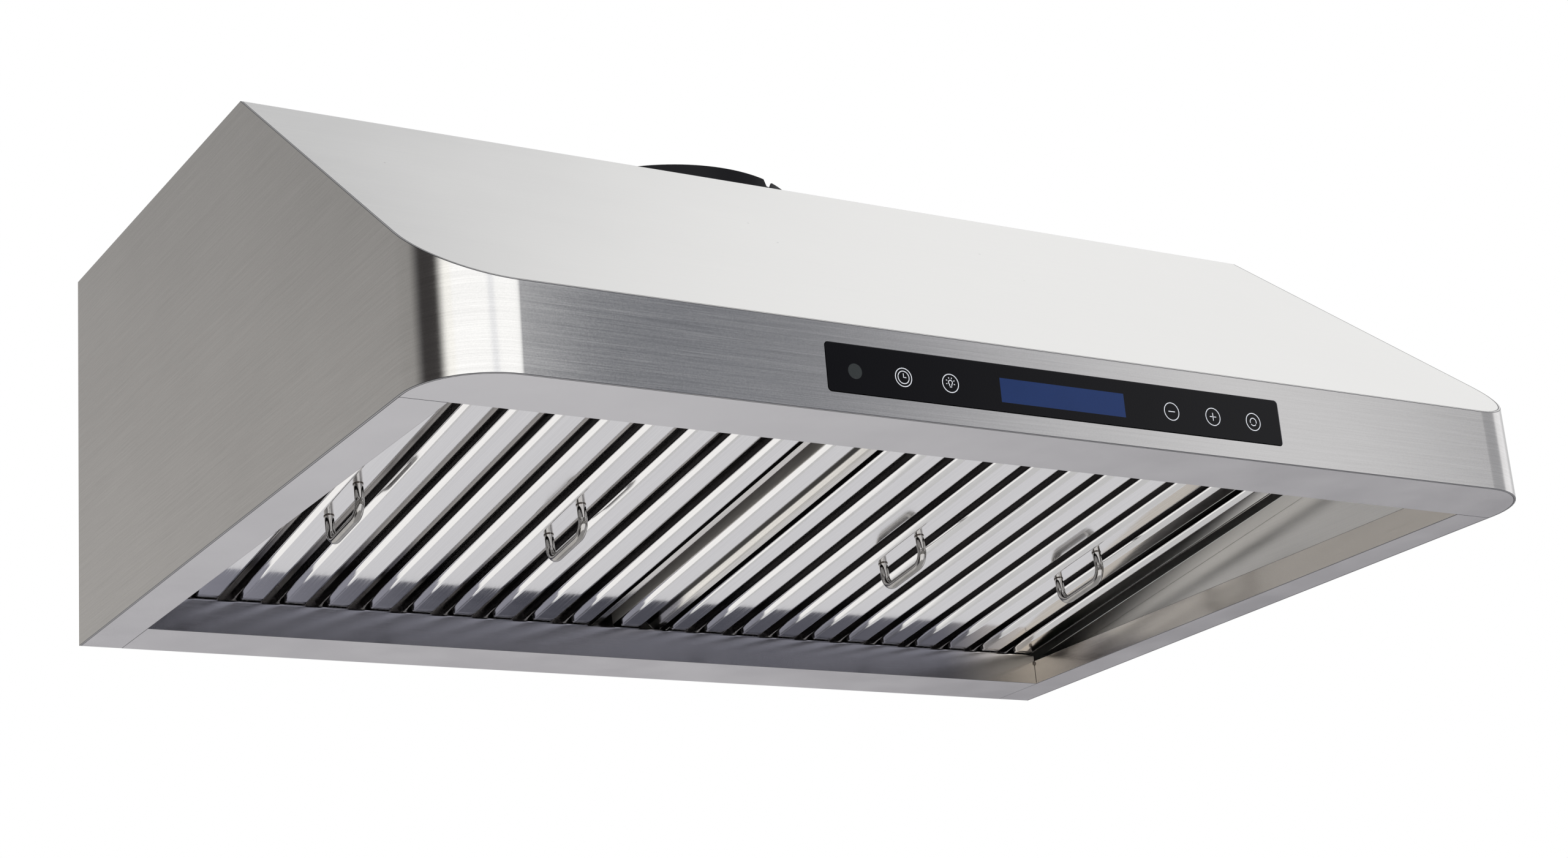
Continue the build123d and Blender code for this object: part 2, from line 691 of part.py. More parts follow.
def damper_flap():
    """Right half-round flap with three hinge knuckles."""
    x, y, z, reach = DAMPER_PIN_X, COLLAR_Y, DAMPER_Z, COLLAR_RADIUS
    flap = rod_z(DAMPER_RADIUS, z - DAMPER_PLATE / 2, z + DAMPER_PLATE / 2, 0, y)
    flap -= block(-reach, x + DAMPER_EDGE, y - reach, y + reach, 0, 2 * z)
    bosses = block(0, BOSS_ROOM, y - reach, y + reach, 0, 2 * z)
    room = COLLAR_BORE - BOSS_DEPTH - DAMPER_EDGE
    flap -= bosses - block(0, BOSS_ROOM, y - room, y + room, 0, 2 * z)
    for middle in (-DAMPER_KNUCKLE_PITCH, 0, DAMPER_KNUCKLE_PITCH):
        start, end = y + middle - DAMPER_KNUCKLE_HALF, y + middle + DAMPER_KNUCKLE_HALF
        flap += rod_y(DAMPER_KNUCKLE, start, end, x, z)
    return flap - rod_y(DAMPER_PIN_RADIUS + RUNNING_GAP, y - reach, y + reach, x, z)


def pan_screw(x, y, z):
    """Pan head screw, pointing down, with the underside of its head at z."""
    top = z + SCREW_HEAD_HEIGHT
    head = rod_z(SCREW_HEAD_RADIUS, z, top, x, y)
    head = fillet(head.edges().group_by(Axis.Z)[-1], SCREW_HEAD_HEIGHT / 2)
    far, near, floor = SCREW_DRIVE, SCREW_DRIVE_HALF, top - SCREW_DRIVE_DEPTH
    head -= block(x - far, x + far, y - near, y + near, floor, top)
    head -= block(x - near, x + near, y - far, y + far, floor, top)
    return head + rod_z(SCREW_RADIUS, z - SCREW_LENGTH, z, x, y)


def collar_screws():
    """Screws that hold the collar to the top."""
    return [pan_screw(x, y, 0) for x, y in collar_screw_spots()]


# ---- Blower ---------------------------------------------------------------------------------

def scroll_outline(inset):
    """Spiral from the tongue down and round to the outlet, which opens upwards."""
    points = []
    for step in range(SCROLL_STEPS + 1):
        turn = step / SCROLL_STEPS
        angle = math.radians(90 + 270 * turn)
        radius = SCROLL_START + (SCROLL_END - SCROLL_START) * turn - inset
        points.append((BLOWER_Y + radius * math.cos(angle), BLOWER_Z + radius * math.sin(angle)))
    (front, low), rear = points[0], points[-1][0]
    outlet = [points[-1], (rear, PLENUM_BOTTOM), (front + inset, PLENUM_BOTTOM)]
    if inset:
        outlet.append((front + inset, low))
    return make_face(Spline(*points) + Polyline(*outlet, points[0]))


def scroll_body(inset, half_width):
    """Spiral outline as a solid across the blower's width."""
    face = Plane.YZ * scroll_outline(inset)
    return Pos(-half_width, 0, 0) * extrude(face, amount=2 * half_width)


def blower_scroll():
    """Sheet metal scroll with an inlet on both sides and its outlet on top."""
    scroll = scroll_body(0, SCROLL_HALF_WIDTH) - scroll_body(SHEET, SCROLL_HALF_WIDTH - SHEET)
    reach = SCROLL_HALF_WIDTH + OVERCUT
    return scroll - rod_x(INLET_RADIUS, -reach, reach, BLOWER_Y, BLOWER_Z)


def outlet_plenum():
    """Shallow box that joins the scroll's outlet to the round collar."""
    x, front, back, top = PLENUM_HALF, COLLAR_Y - PLENUM_HALF, COLLAR_Y + PLENUM_HALF, RECESS_FLOOR
    box = open_box(-x, x, front, back, PLENUM_BOTTOM, top, SHEET)
    half = SCROLL_HALF_WIDTH - SHEET
    throat_back = BLOWER_Y + SCROLL_END - SHEET
    return box - block(-half, half, BLOWER_Y + SHEET, throat_back, PLENUM_BOTTOM - OVERCUT, top)


def blade(angle):
    """One forward-leaning blade of the impeller."""
    plate = Rot(0, 0, BLADE_ANGLE) * Box(BLADE_CHORD, BLADE_SHEET, 2 * IMPELLER_HALF_WIDTH)
    return Rot(0, 0, angle) * Pos(IMPELLER_RADIUS - BLADE_INSET, 0, 0) * plate


def impeller():
    """Double inlet squirrel cage: blades, end rings, centre disc and hub."""
    sheet, reach = IMPELLER_SHEET, IMPELLER_HALF_WIDTH - IMPELLER_SHEET / 2
    ring = Cylinder(IMPELLER_RADIUS, sheet) - Cylinder(IMPELLER_RADIUS - IMPELLER_RING_WIDTH, sheet)
    wheel = Cylinder(IMPELLER_RADIUS - 2 * sheet, sheet) + Cylinder(HUB_RADIUS, HUB_LENGTH)
    for z in (-reach, reach):
        wheel += Pos(0, 0, z) * ring
    wheel += [blade(360 * i / BLADES) for i in range(BLADES)]
    wheel -= Cylinder(SHAFT_RADIUS, HUB_LENGTH)
    return Pos(0, BLOWER_Y, BLOWER_Z) * Rot(0, 90, 0) * wheel


def motor_shaft():
    """Shaft that carries the impeller."""
    return rod_x(SHAFT_RADIUS, SHAFT_START, SHAFT_END, BLOWER_Y, BLOWER_Z)


def motor():
    """Motor can with its end bosses, bored for the shaft."""
    can = rod_x(MOTOR_RADIUS, MOTOR_START, MOTOR_END, BLOWER_Y, BLOWER_Z)
    can = fillet(can.edges().filter_by(GeomType.CIRCLE), MOTOR_ROUND)
    can += rod_x(MOTOR_BOSS_RADIUS, MOTOR_START - MOTOR_BOSS_REAR, MOTOR_START, BLOWER_Y, BLOWER_Z)
    can += rod_x(MOTOR_BOSS_RADIUS, MOTOR_END, MOTOR_END + MOTOR_BOSS_FRONT, BLOWER_Y, BLOWER_Z)
    return can - rod_x(SHAFT_RADIUS + RUNNING_GAP, SHAFT_START - 1, 0, BLOWER_Y, BLOWER_Z)


def motor_bracket():
    """Clamp ring with three arms that hold the motor to the scroll."""
    face = -SCROLL_HALF_WIDTH
    outer, arm_half, arm_top = MOTOR_RADIUS + BRACKET_RING, BRACKET_ARM_HALF, SCROLL_START - BRACKET_SHEET
    bracket = rod_x(outer, face - BRACKET_DEPTH, face - BRACKET_SHEET / 2, BLOWER_Y, BLOWER_Z)
    for i in range(BRACKET_ARMS):
        arm = block(face - BRACKET_SHEET, face, -arm_half, arm_half, MOTOR_RADIUS + 1, arm_top)
        bracket += Pos(0, BLOWER_Y, BLOWER_Z) * Rot(360 / BRACKET_ARMS * i, 0, 0) * arm
    return bracket - rod_x(MOTOR_RADIUS, face - 2 * BRACKET_DEPTH, face + OVERCUT, BLOWER_Y, BLOWER_Z)


def capacitor():
    """Motor run capacitor on a foot under the top panel."""
    x, y, dx, dy = CAPACITOR_X, CAPACITOR_Y, CAPACITOR_FOOT_X, CAPACITOR_FOOT_Y
    foot = block(x - dx, x + dx, y - dy, y + dy, RECESS_FLOOR, -SHEET)
    return foot + rod_z(CAPACITOR_RADIUS, CAPACITOR_BOTTOM, RECESS_FLOOR, x, y)


# ---- Electrical boxes -----------------------------------------------------------------------

def open_box(x0, x1, y0, y1, z0, z1, wall):
    """Sheet metal box, open at the top."""
    room = block(x0 + wall, x1 - wall, y0 + wall, y1 - wall, z0 + wall, z1)
    return block(x0, x1, y0, y1, z0, z1) - room


def junction_sides():
    """Left, right, front and back of the supply connection box."""
    left, right = WIRING_X - JUNCTION_HALF_X, WIRING_X + JUNCTION_HALF_X
    return left, right, WIRING_Y - JUNCTION_HALF_Y, WIRING_Y + JUNCTION_HALF_Y


def junction_box():
    """Supply connection box under the wiring opening."""
    return open_box(*junction_sides(), JUNCTION_BOTTOM, -2 * SHEET, JUNCTION_WALL)


def wiring_plate():
    """Plate under the wiring opening, with the supply cable's knock-out hole."""
    plate = block(*junction_sides(), -2 * SHEET, -SHEET)
    return plate - rod_z(KNOCKOUT_RADIUS, -OVERCUT, OVERCUT, WIRING_X, WIRING_Y)


def closed_box(x_ends, y_ends, bottom):
    """Closed box under the top panel, with rounded upright edges."""
    box = block(*x_ends, *y_ends, bottom, -SHEET)
    return fillet(box.edges().filter_by(Axis.Z), BOX_ROUND)


def power_box():
    """Closed box of the power board."""
    return closed_box(POWER_BOX_X, POWER_BOX_Y, POWER_BOX_BOTTOM)


def lamp_driver():
    """Supply unit of the lamps."""
    return closed_box(DRIVER_X, DRIVER_Y, DRIVER_BOTTOM)


# ---- Write one file per node -----------------------------------------------------------------

def both_lamps(maker):
    """The same lamp piece on the left and on the right."""
    return group([maker(-LAMP_X), maker(LAMP_X)])


def filter_nodes():
    """Every node of the two filters; the left one mirrors the right one."""
    pieces = {
        "frame": [filter_frame()],
        "front_baffles": front_baffles(),
        "rear_baffles": rear_baffles(),
        "handles": filter_handles(),
    }
    nodes = {}
    for name, shapes in pieces.items():
        nodes["filter_right_" + name] = group(shapes)
        nodes["filter_left_" + name] = group([mirrored(shape) for shape in shapes])
    return nodes


def all_nodes():
    """Every node of the hood by name."""
    nodes = {
        "outer_wrap": outer_wrap(),
        "slope_panel": slope_panel(),
        "top_panel": top_panel(),
        "back_panel": back_panel(),
        "rim_front": rim_front(),
        "rim_back": rim_back(),
        "rim_right": rim_side(),
        "rim_left": mirrored(rim_side()),
        "side_ledge_right": side_ledge(),
        "side_ledge_left": mirrored(side_ledge()),
        "centre_strip": centre_strip(),
        "lamp_panel": lamp_panel(),
        "lamp_bodies": both_lamps(lamp_body),
        "lamp_bezels": both_lamps(lamp_bezel),
        "lamp_lenses": both_lamps(lamp_lens),
        "filter_catches": group(filter_catches()),
        "touch_glass": touch_glass(),
        "display_window": display_window(),
        "sensor_window": sensor_window(),
        "control_board": control_board(),
        "control_tray": control_tray(),
        "duct_collar": duct_collar(),
        "collar_flange": collar_flange(),
        "collar_screws": group(collar_screws()),
        "damper_pins": group(damper_pins()),
        "damper_flap_right": damper_flap(),
        "damper_flap_left": mirrored(damper_flap()),
        "outlet_plenum": outlet_plenum(),
        "blower_scroll": blower_scroll(),
        "impeller": impeller(),
        "motor_shaft": motor_shaft(),
        "motor": motor(),
        "motor_bracket": motor_bracket(),
        "capacitor": capacitor(),
        "junction_box": junction_box(),
        "wiring_plate": wiring_plate(),
        "power_box": power_box(),
        "lamp_driver": lamp_driver(),
    }
    return nodes | filter_nodes()


os.makedirs("parts", exist_ok=True)
for node, shape in all_nodes().items():
    export_step(shape, f"parts/{node}.step")
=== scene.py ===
import bmesh
import bpy
import json
import math
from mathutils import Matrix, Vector


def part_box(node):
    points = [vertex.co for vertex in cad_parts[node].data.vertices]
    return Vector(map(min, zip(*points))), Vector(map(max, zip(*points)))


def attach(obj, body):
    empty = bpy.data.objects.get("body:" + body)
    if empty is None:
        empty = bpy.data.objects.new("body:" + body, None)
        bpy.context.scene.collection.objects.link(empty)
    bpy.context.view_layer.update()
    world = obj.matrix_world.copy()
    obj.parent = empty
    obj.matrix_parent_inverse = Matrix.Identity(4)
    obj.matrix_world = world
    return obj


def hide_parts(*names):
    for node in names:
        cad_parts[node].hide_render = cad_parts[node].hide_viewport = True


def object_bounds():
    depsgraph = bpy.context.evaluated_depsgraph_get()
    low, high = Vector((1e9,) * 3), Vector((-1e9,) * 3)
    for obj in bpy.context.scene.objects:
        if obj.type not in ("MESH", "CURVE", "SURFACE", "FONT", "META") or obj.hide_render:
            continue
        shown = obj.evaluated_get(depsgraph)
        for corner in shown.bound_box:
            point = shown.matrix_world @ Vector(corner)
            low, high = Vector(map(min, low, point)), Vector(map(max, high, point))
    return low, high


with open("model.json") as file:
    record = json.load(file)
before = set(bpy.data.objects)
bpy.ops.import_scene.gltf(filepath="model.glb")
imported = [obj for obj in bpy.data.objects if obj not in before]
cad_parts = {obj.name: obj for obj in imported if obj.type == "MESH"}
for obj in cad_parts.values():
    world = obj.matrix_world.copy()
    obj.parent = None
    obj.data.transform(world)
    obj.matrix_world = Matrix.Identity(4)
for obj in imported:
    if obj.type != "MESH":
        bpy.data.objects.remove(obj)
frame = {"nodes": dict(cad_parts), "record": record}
cad_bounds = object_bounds()
nodes = frame["nodes"]
record = frame["record"]

MM = 0.001

# How the filters lie: their tilt, the way up through them, and the level of their undersides along
# it, which is a little above the hinge line.
TILT = math.radians(8.0)
FILTER_UP = Vector((0, math.sin(TILT), math.cos(TILT)))
FILTER_FACE = 2.0
HINGES = {joint["name"]: Vector(joint["pos_m"]) for joint in record["behaviour"]["joints"]}
RIDGE_LEVEL = HINGES["filter_right_swing"].dot(FILTER_UP) + FILTER_FACE * MM

# ---- Camera and studio ------------------------------------------------------------------------

CAMERA_PLACE = (-0.9386, -1.5806, -0.7281)
CAMERA_TURN = (108.256, 4.692, -31.213)
CAMERA_LENS = 64.37
CAMERA_SENSOR = 36.0
CAMERA_CLIP = (0.05, 60.0)
CAMERA_SHIFT = (-0.00105, 0.00195)

FLOOR_DROP = 1.35
FLOOR_RADIUS = 1.5
FLOOR_SEGMENTS = 96
BACKDROP = 1.0

# The studio as patches of light and dark, later ones over earlier ones: azimuth from +Y towards
# +X and elevation in degrees, half width and half height, soft edge, and brightness.
STUDIO_BASE = (0.62, 0.62, 0.63)
STUDIO = (
    ("upper_back", 30, 50, 75, 30, 25, (1.0, 0.995, 0.99)),
    ("upper_left_dim", 12, 42, 26, 22, 16, (0.52, 0.52, 0.53)),
    ("lower_back_right", 40, -30, 50, 32, 12, (0.68, 0.675, 0.69)),
    ("horizon_dim", 45, -4, 45, 12, 7, (0.41, 0.40, 0.42)),
    ("horizon_dark", 60, -4, 24, 13, 14, (0.28, 0.275, 0.29)),
    ("lower_back_left", -32, -35, 26, 30, 10, (1.03, 1.015, 0.99)),
    ("behind_left", -35, 22, 35, 26, 14, (0.57, 0.55, 0.53)),
    ("behind_left_high", -35, 36, 35, 16, 18, (0.40, 0.39, 0.38)),
    ("left_flag", -100, 15, 33, 70, 22, (0.07, 0.065, 0.065)),
    ("band_dim", 141, -2, 23, 42, 2, (0.23, 0.24, 0.275)),
    ("right_box", 108, -2, 34, 42, 16, (1.24, 1.23, 1.25)),
    ("right_box_end", 118, -2, 16, 42, 8, (0.55, 0.55, 0.57)),
    ("front_soft", 230, -2, 25, 42, 16, (1.70, 1.68, 1.62)),
    ("front_box", 197, -2, 43, 42, 5, (1.75, 1.75, 1.75)),
    ("front_line", 190, -2, 4, 42, 5, (1.45, 1.46, 1.50)),
)


def look_through_camera():
    """The camera at the viewing angle of the reference view."""
    data = bpy.data.cameras.new("camera")
    data.sensor_width = CAMERA_SENSOR
    data.lens = CAMERA_LENS
    data.shift_x, data.shift_y = CAMERA_SHIFT
    data.clip_start, data.clip_end = CAMERA_CLIP
    camera = bpy.data.objects.new("camera", data)
    camera.location = CAMERA_PLACE
    camera.rotation_euler = [math.radians(angle) for angle in CAMERA_TURN]
    bpy.context.scene.collection.objects.link(camera)
    bpy.context.scene.camera = camera


class Tree:
    """A node tree with short calls for the nodes that the materials and the studio use."""

    def __init__(self, tree):
        self.tree = tree

    def add(self, kind, inputs=None, **settings):
        node = self.tree.nodes.new(kind)
        for name, value in settings.items():
            setattr(node, name, value)
        for key, value in (inputs or {}).items():
            self.feed(node.inputs[key], value)
        return node

    def feed(self, socket, value):
        if isinstance(value, bpy.types.NodeSocket):
            self.tree.links.new(value, socket)
        else:
            socket.default_value = value

    def math(self, operation, *values):
        node = self.add("ShaderNodeMath", operation=operation)
        for socket, value in zip(node.inputs, values):
            self.feed(socket, value)
        return node.outputs[0]

    def vector(self, operation, *values):
        node = self.add("ShaderNodeVectorMath", operation=operation)
        for socket, value in zip(node.inputs, values):
            self.feed(socket, value)
        return node

    def ramp(self, value, low, high, to_low=0.0, to_high=1.0, smooth=True):
        kind = "SMOOTHSTEP" if smooth else "LINEAR"
        node = self.add("ShaderNodeMapRange", interpolation_type=kind, clamp=True)
        for index, item in enumerate((value, low, high, to_low, to_high)):
            self.feed(node.inputs[index], item)
        return node.outputs[0]

    def mix(self, factor, a, b):
        node = self.add("ShaderNodeMix", data_type="RGBA")
        self.feed(node.inputs["Factor"], factor)
        for socket, value in zip((s for s in node.inputs if s.type == "RGBA"), (a, b)):
            self.feed(socket, (*value, 1.0) if isinstance(value, tuple) and len(value) == 3 else value)
        return next(s for s in node.outputs if s.type == "RGBA")


def light_studio():
    """Plain soft studio: patches of light and dark all round, and a white backdrop."""
    world = bpy.data.worlds.new("studio")
    bpy.context.scene.world = world
    world.use_nodes = True
    tree = Tree(world.node_tree)
    world.node_tree.nodes.clear()
    direction = tree.add("ShaderNodeTexCoord").outputs["Generated"]
    split = tree.add("ShaderNodeSeparateXYZ", {"Vector": direction})
    azimuth = tree.math("ARCTAN2", split.outputs["X"], split.outputs["Y"])
    elevation = tree.math("ARCSINE", split.outputs["Z"])
    colour = (*STUDIO_BASE, 1.0)
    for _, az, el, half_az, half_el, edge, glow in STUDIO:
        turn = tree.math("SUBTRACT", azimuth, math.radians(az))
        turn = tree.math("WRAP", turn, math.pi, -math.pi)
        turn = tree.math("ABSOLUTE", turn)
        lift = tree.math("ABSOLUTE", tree.math("SUBTRACT", elevation, math.radians(el)))
        soft = math.radians(edge)
        across = tree.ramp(turn, math.radians(half_az) + soft / 2, math.radians(half_az) - soft / 2)
        upright = tree.ramp(lift, math.radians(half_el) + soft / 2, math.radians(half_el) - soft / 2)
        colour = tree.mix(tree.math("MULTIPLY", across, upright), colour, glow)
    lit = tree.add("ShaderNodeBackground", {"Color": colour, "Strength": 1.0})
    plain = tree.add("ShaderNodeBackground", {"Color": (BACKDROP, BACKDROP, BACKDROP, 1.0), "Strength": 1.0})
    seen = tree.add("ShaderNodeLightPath").outputs["Is Camera Ray"]
    both = tree.add("ShaderNodeMixShader", {0: seen, 1: lit.outputs[0], 2: plain.outputs[0]})
    tree.add("ShaderNodeOutputWorld", {"Surface": both.outputs[0]})
    bpy.context.scene.view_settings.view_transform = "Standard"


def lay_floor():
    """Plain pale floor, well below the hood."""
    mesh = bpy.data.meshes.new("floor")
    work = bmesh.new()
    bmesh.ops.create_circle(work, cap_ends=True, segments=FLOOR_SEGMENTS, radius=FLOOR_RADIUS)
    work.to_mesh(mesh)
    work.free()
    floor = bpy.data.objects.new("floor", mesh)
    floor.location = (0, 0, cad_bounds[0][2] - FLOOR_DROP)
    bpy.context.scene.collection.objects.link(floor)
    floor.data.materials.append(plain("floor_pale", (0.86, 0.86, 0.85), 0.7))


# ---- Materials --------------------------------------------------------------------------------

def surface(name, colour, roughness, metallic=0.0, **sockets):
    """A material with a Principled shader and fixed values, and its tree."""
    material = bpy.data.materials.new(name)
    material.use_nodes = True
    shader = material.node_tree.nodes["Principled BSDF"]
    shader.inputs["Base Color"].default_value = (*colour, 1.0)
    shader.inputs["Roughness"].default_value = roughness
    shader.inputs["Metallic"].default_value = metallic
    for key, value in sockets.items():
        shader.inputs[key].default_value = value
    return material, Tree(material.node_tree), shader


def object_place(tree):
    """The point in the hood's own frame."""
    return tree.add("ShaderNodeTexCoord").outputs["Object"]


def noise(tree, scale, detail=3.0, stretch=None):
    """Noise, drawn out along the direction whose stretch is small, in a frame turned about X."""
    place = object_place(tree)
    if stretch:
        turn, factors = stretch
        place = tree.add("ShaderNodeVectorRotate", {"Vector": place, "Angle": turn},
                         rotation_type="X_AXIS").outputs[0]
        place = tree.vector("MULTIPLY", place, factors).outputs[0]
    return tree.add("ShaderNodeTexNoise", {"Vector": place, "Scale": scale, "Detail": detail}).outputs[0]


def weighted(tree, *pairs):
    """Sum of values, each times its weight."""
    total = None
    for value, weight in pairs:
        term = tree.math("MULTIPLY", value, weight)
        total = term if total is None else tree.math("ADD", total, term)
    return total


def tones(tree, shader, value, colour, spread):
    """Base colour that runs from darker to lighter with a value around one half."""
    low = tuple((1.0 - spread) * c for c in colour)
    high = tuple(min(1.0, (1.0 + spread) * c) for c in colour)
    share = tree.ramp(value, 0.25, 0.75, smooth=False)
    tree.feed(shader.inputs["Base Color"], tree.mix(share, low, high))


def bumps(tree, shader, height, distance, strength=0.5):
    """Height as a bump on the surface."""
    bump = tree.add("ShaderNodeBump", {"Height": height, "Strength": strength, "Distance": distance})
    tree.feed(shader.inputs["Normal"], bump.outputs[0])


def plain(name, colour, roughness, metallic=0.0, **sockets):
    """A moulded or painted surface with a fine mottle in its colour, gloss and height."""
    material, tree, shader = surface(name, colour, roughness, metallic, **sockets)
    fine = noise(tree, 900.0, 3.0)
    wide = noise(tree, 30.0, 3.0)
    value = weighted(tree, (fine, 0.5), (wide, 0.5))
    tones(tree, shader, value, colour, 0.12)
    tree.feed(shader.inputs["Roughness"], tree.ramp(value, 0.3, 0.7, roughness - 0.05, roughness + 0.05))
    bumps(tree, shader, fine, 0.0001, 0.12)
    return material


# Scales of the brush lines, the grain between them and the cloudiness over them.
FINE_LINES = 2400.0
WIDE_LINES = 700.0
GRAIN = 1300.0
CLOUD = 9.0


def brushed(name, colour, roughness, stretch, spread=0.10, gloss=0.05, depth=0.000012, cloud=0.2):
    """Brushed steel: long brush lines in colour, gloss and height, with a grain and a faint cloudiness."""
    material, tree, shader = surface(name, colour, roughness, 1.0)
    fine = noise(tree, FINE_LINES, 2.0, stretch)
    wide = noise(tree, WIDE_LINES, 2.0, stretch)
    grain = noise(tree, GRAIN, 2.0)
    slow = noise(tree, CLOUD, 3.0)
    rest = 1.0 - cloud
    value = weighted(tree, (fine, 0.45 * rest), (wide, 0.25 * rest), (grain, 0.30 * rest), (slow, cloud))
    tones(tree, shader, value, colour, spread)
    tree.feed(shader.inputs["Roughness"], tree.ramp(value, 0.3, 0.7, roughness - gloss, roughness + gloss))
    bumps(tree, shader, weighted(tree, (fine, 0.5), (wide, 0.5)), depth)
    return material


def polished(name, colour, roughness, ripple=0.00012, scale=22.0, spread=0.04):
    """Mirror-polished steel with a slow ripple and faint rubbing marks."""
    material, tree, shader = surface(name, colour, roughness, 1.0)
    slow = noise(tree, scale, 1.5)
    rub = noise(tree, 1400.0, 2.0, ALONG_RIDGE)
    tones(tree, shader, rub, colour, spread)
    tree.feed(shader.inputs["Roughness"], tree.ramp(rub, 0.3, 0.75, roughness * 0.7, roughness * 1.5))
    bumps(tree, shader, weighted(tree, (slow, 1.0), (rub, 0.02)), ripple)
    return material


def paint_over(tree, factor, colour):
    """A second colour over a material's base colour, where the factor is high."""
    base_colour = tree.tree.nodes["Principled BSDF"].inputs["Base Color"]
    tree.feed(base_colour, tree.mix(factor, base_colour.links[0].from_socket, colour))


def bevel_shade(name, colour, roughness):
    """Steel of a filter's rails, with painted shade where a bevel runs up into the gap."""
    material = brushed(name, colour, roughness, ALONG_RIDGE, 0.30, 0.06)
    tree = Tree(material.node_tree)
    rise = tree.vector("DOT_PRODUCT", object_place(tree), FILTER_UP).outputs["Value"]
    start, full, fade, end = (RIDGE_LEVEL + up * MM for up in BEVEL_SHADE)
    # Painted shade: a dark band where each bevel runs up into the gap.
    dark = tree.math("MULTIPLY", tree.ramp(rise, start, full), tree.ramp(rise, fade, end, 1.0, 0.0))
    paint_over(tree, dark, tuple(0.06 * c for c in colour))
    return material


def specks(material, scale, size, share, colour, strength):
    """Scattered round specks over a material's colour."""
    tree = Tree(material.node_tree)
    cells = tree.add("ShaderNodeTexVoronoi", {"Vector": object_place(tree), "Scale": scale})
    spot = tree.ramp(cells.outputs["Distance"], size * 0.6, size, strength, 0.0)
    draw = tree.add("ShaderNodeSeparateColor", {"Color": cells.outputs["Color"]}).outputs[0]
    chosen = tree.ramp(draw, 1.0 - share, 1.01 - share)
    paint_over(tree, tree.math("MULTIPLY", spot, chosen), colour)
    return material


def specked(name, colour, roughness, stretch):
    """Brushed steel with a few tiny dark specks, as on a large flat panel."""
    material = brushed(name, colour, roughness, stretch, 0.06, 0.04, 0.000008, 0.35)
    return specks(material, 55.0, 0.05, 0.07, tuple(0.45 * c for c in colour), 0.6)


def dust_and_glints(name, colour, roughness, scale=160.0, share=0.05, **sockets):
    """Dark glass with pale specks: a few grains of dust, and on the sensor a dense mottle of painted glints.
    """
    material = plain(name, colour, roughness, **sockets)
    return specks(material, scale, 0.06, share, (0.22, 0.23, 0.24), 0.7)


def tinted(name, colour, roughness, stretch, tint):
    """Brushed steel that turns warmer and lighter towards its right end."""
    material = brushed(name, colour, roughness, stretch, 0.08)
    tree = Tree(material.node_tree)
    right = tree.add("ShaderNodeSeparateXYZ", {"Vector": object_place(tree)}).outputs["X"]
    paint_over(tree, tree.ramp(right, TINT_START * MM, TINT_END * MM), tint)
    return material


def pitted(name, colour, roughness):
    """Polished wire with fine pits and wear, as a hand leaves on a grip."""
    material, tree, shader = surface(name, colour, roughness, 1.0)
    pits = noise(tree, 1500.0, 3.0)
    wear = noise(tree, 120.0, 4.0)
    tones(tree, shader, weighted(tree, (pits, 0.4), (wear, 0.6)), colour, 0.20)
    tree.feed(shader.inputs["Roughness"], tree.ramp(wear, 0.35, 0.7, roughness * 0.6, roughness * 1.6))
    bumps(tree, shader, weighted(tree, (pits, 0.4), (wear, 0.6)), 0.00003)
    return material


def painted_shade_steel(name, colour, roughness):
    """Dull steel in the gaps, darkened as painted shade, with a few long draw lines."""
    material, tree, shader = surface(name, colour, roughness, 1.0)
    lines = noise(tree, 300.0, 2.0, ALONG_RIDGE)
    slow = noise(tree, 12.0, 3.0)
    tones(tree, shader, weighted(tree, (lines, 0.75), (slow, 0.25)), colour, 0.4)
    tree.feed(shader.inputs["Roughness"], tree.ramp(lines, 0.3, 0.7, roughness - 0.06, roughness + 0.06))
    bumps(tree, shader, lines, 0.00001)
    return material


# Where the warm, lighter tint starts and is full, in millimetres towards +X, and where the painted shade on
# the rails' bevels starts, is full, starts to fade and ends, in millimetres above the ridges.
TINT_START, TINT_END = 262.0, 360.0
BEVEL_SHADE = (5.0, 5.8, 9.0, 10.0)

# The directions of brush lines: a turn about X, then how little each axis counts in the noise.
ALONG_X = (0.0, (0.006, 1.0, 1.0))
ALONG_Y = (0.0, (1.0, 0.006, 1.0))
ALONG_XY = (0.0, (0.010, 0.010, 1.0))
ALONG_RIDGE = (TILT, (1.0, 0.006, 1.0))

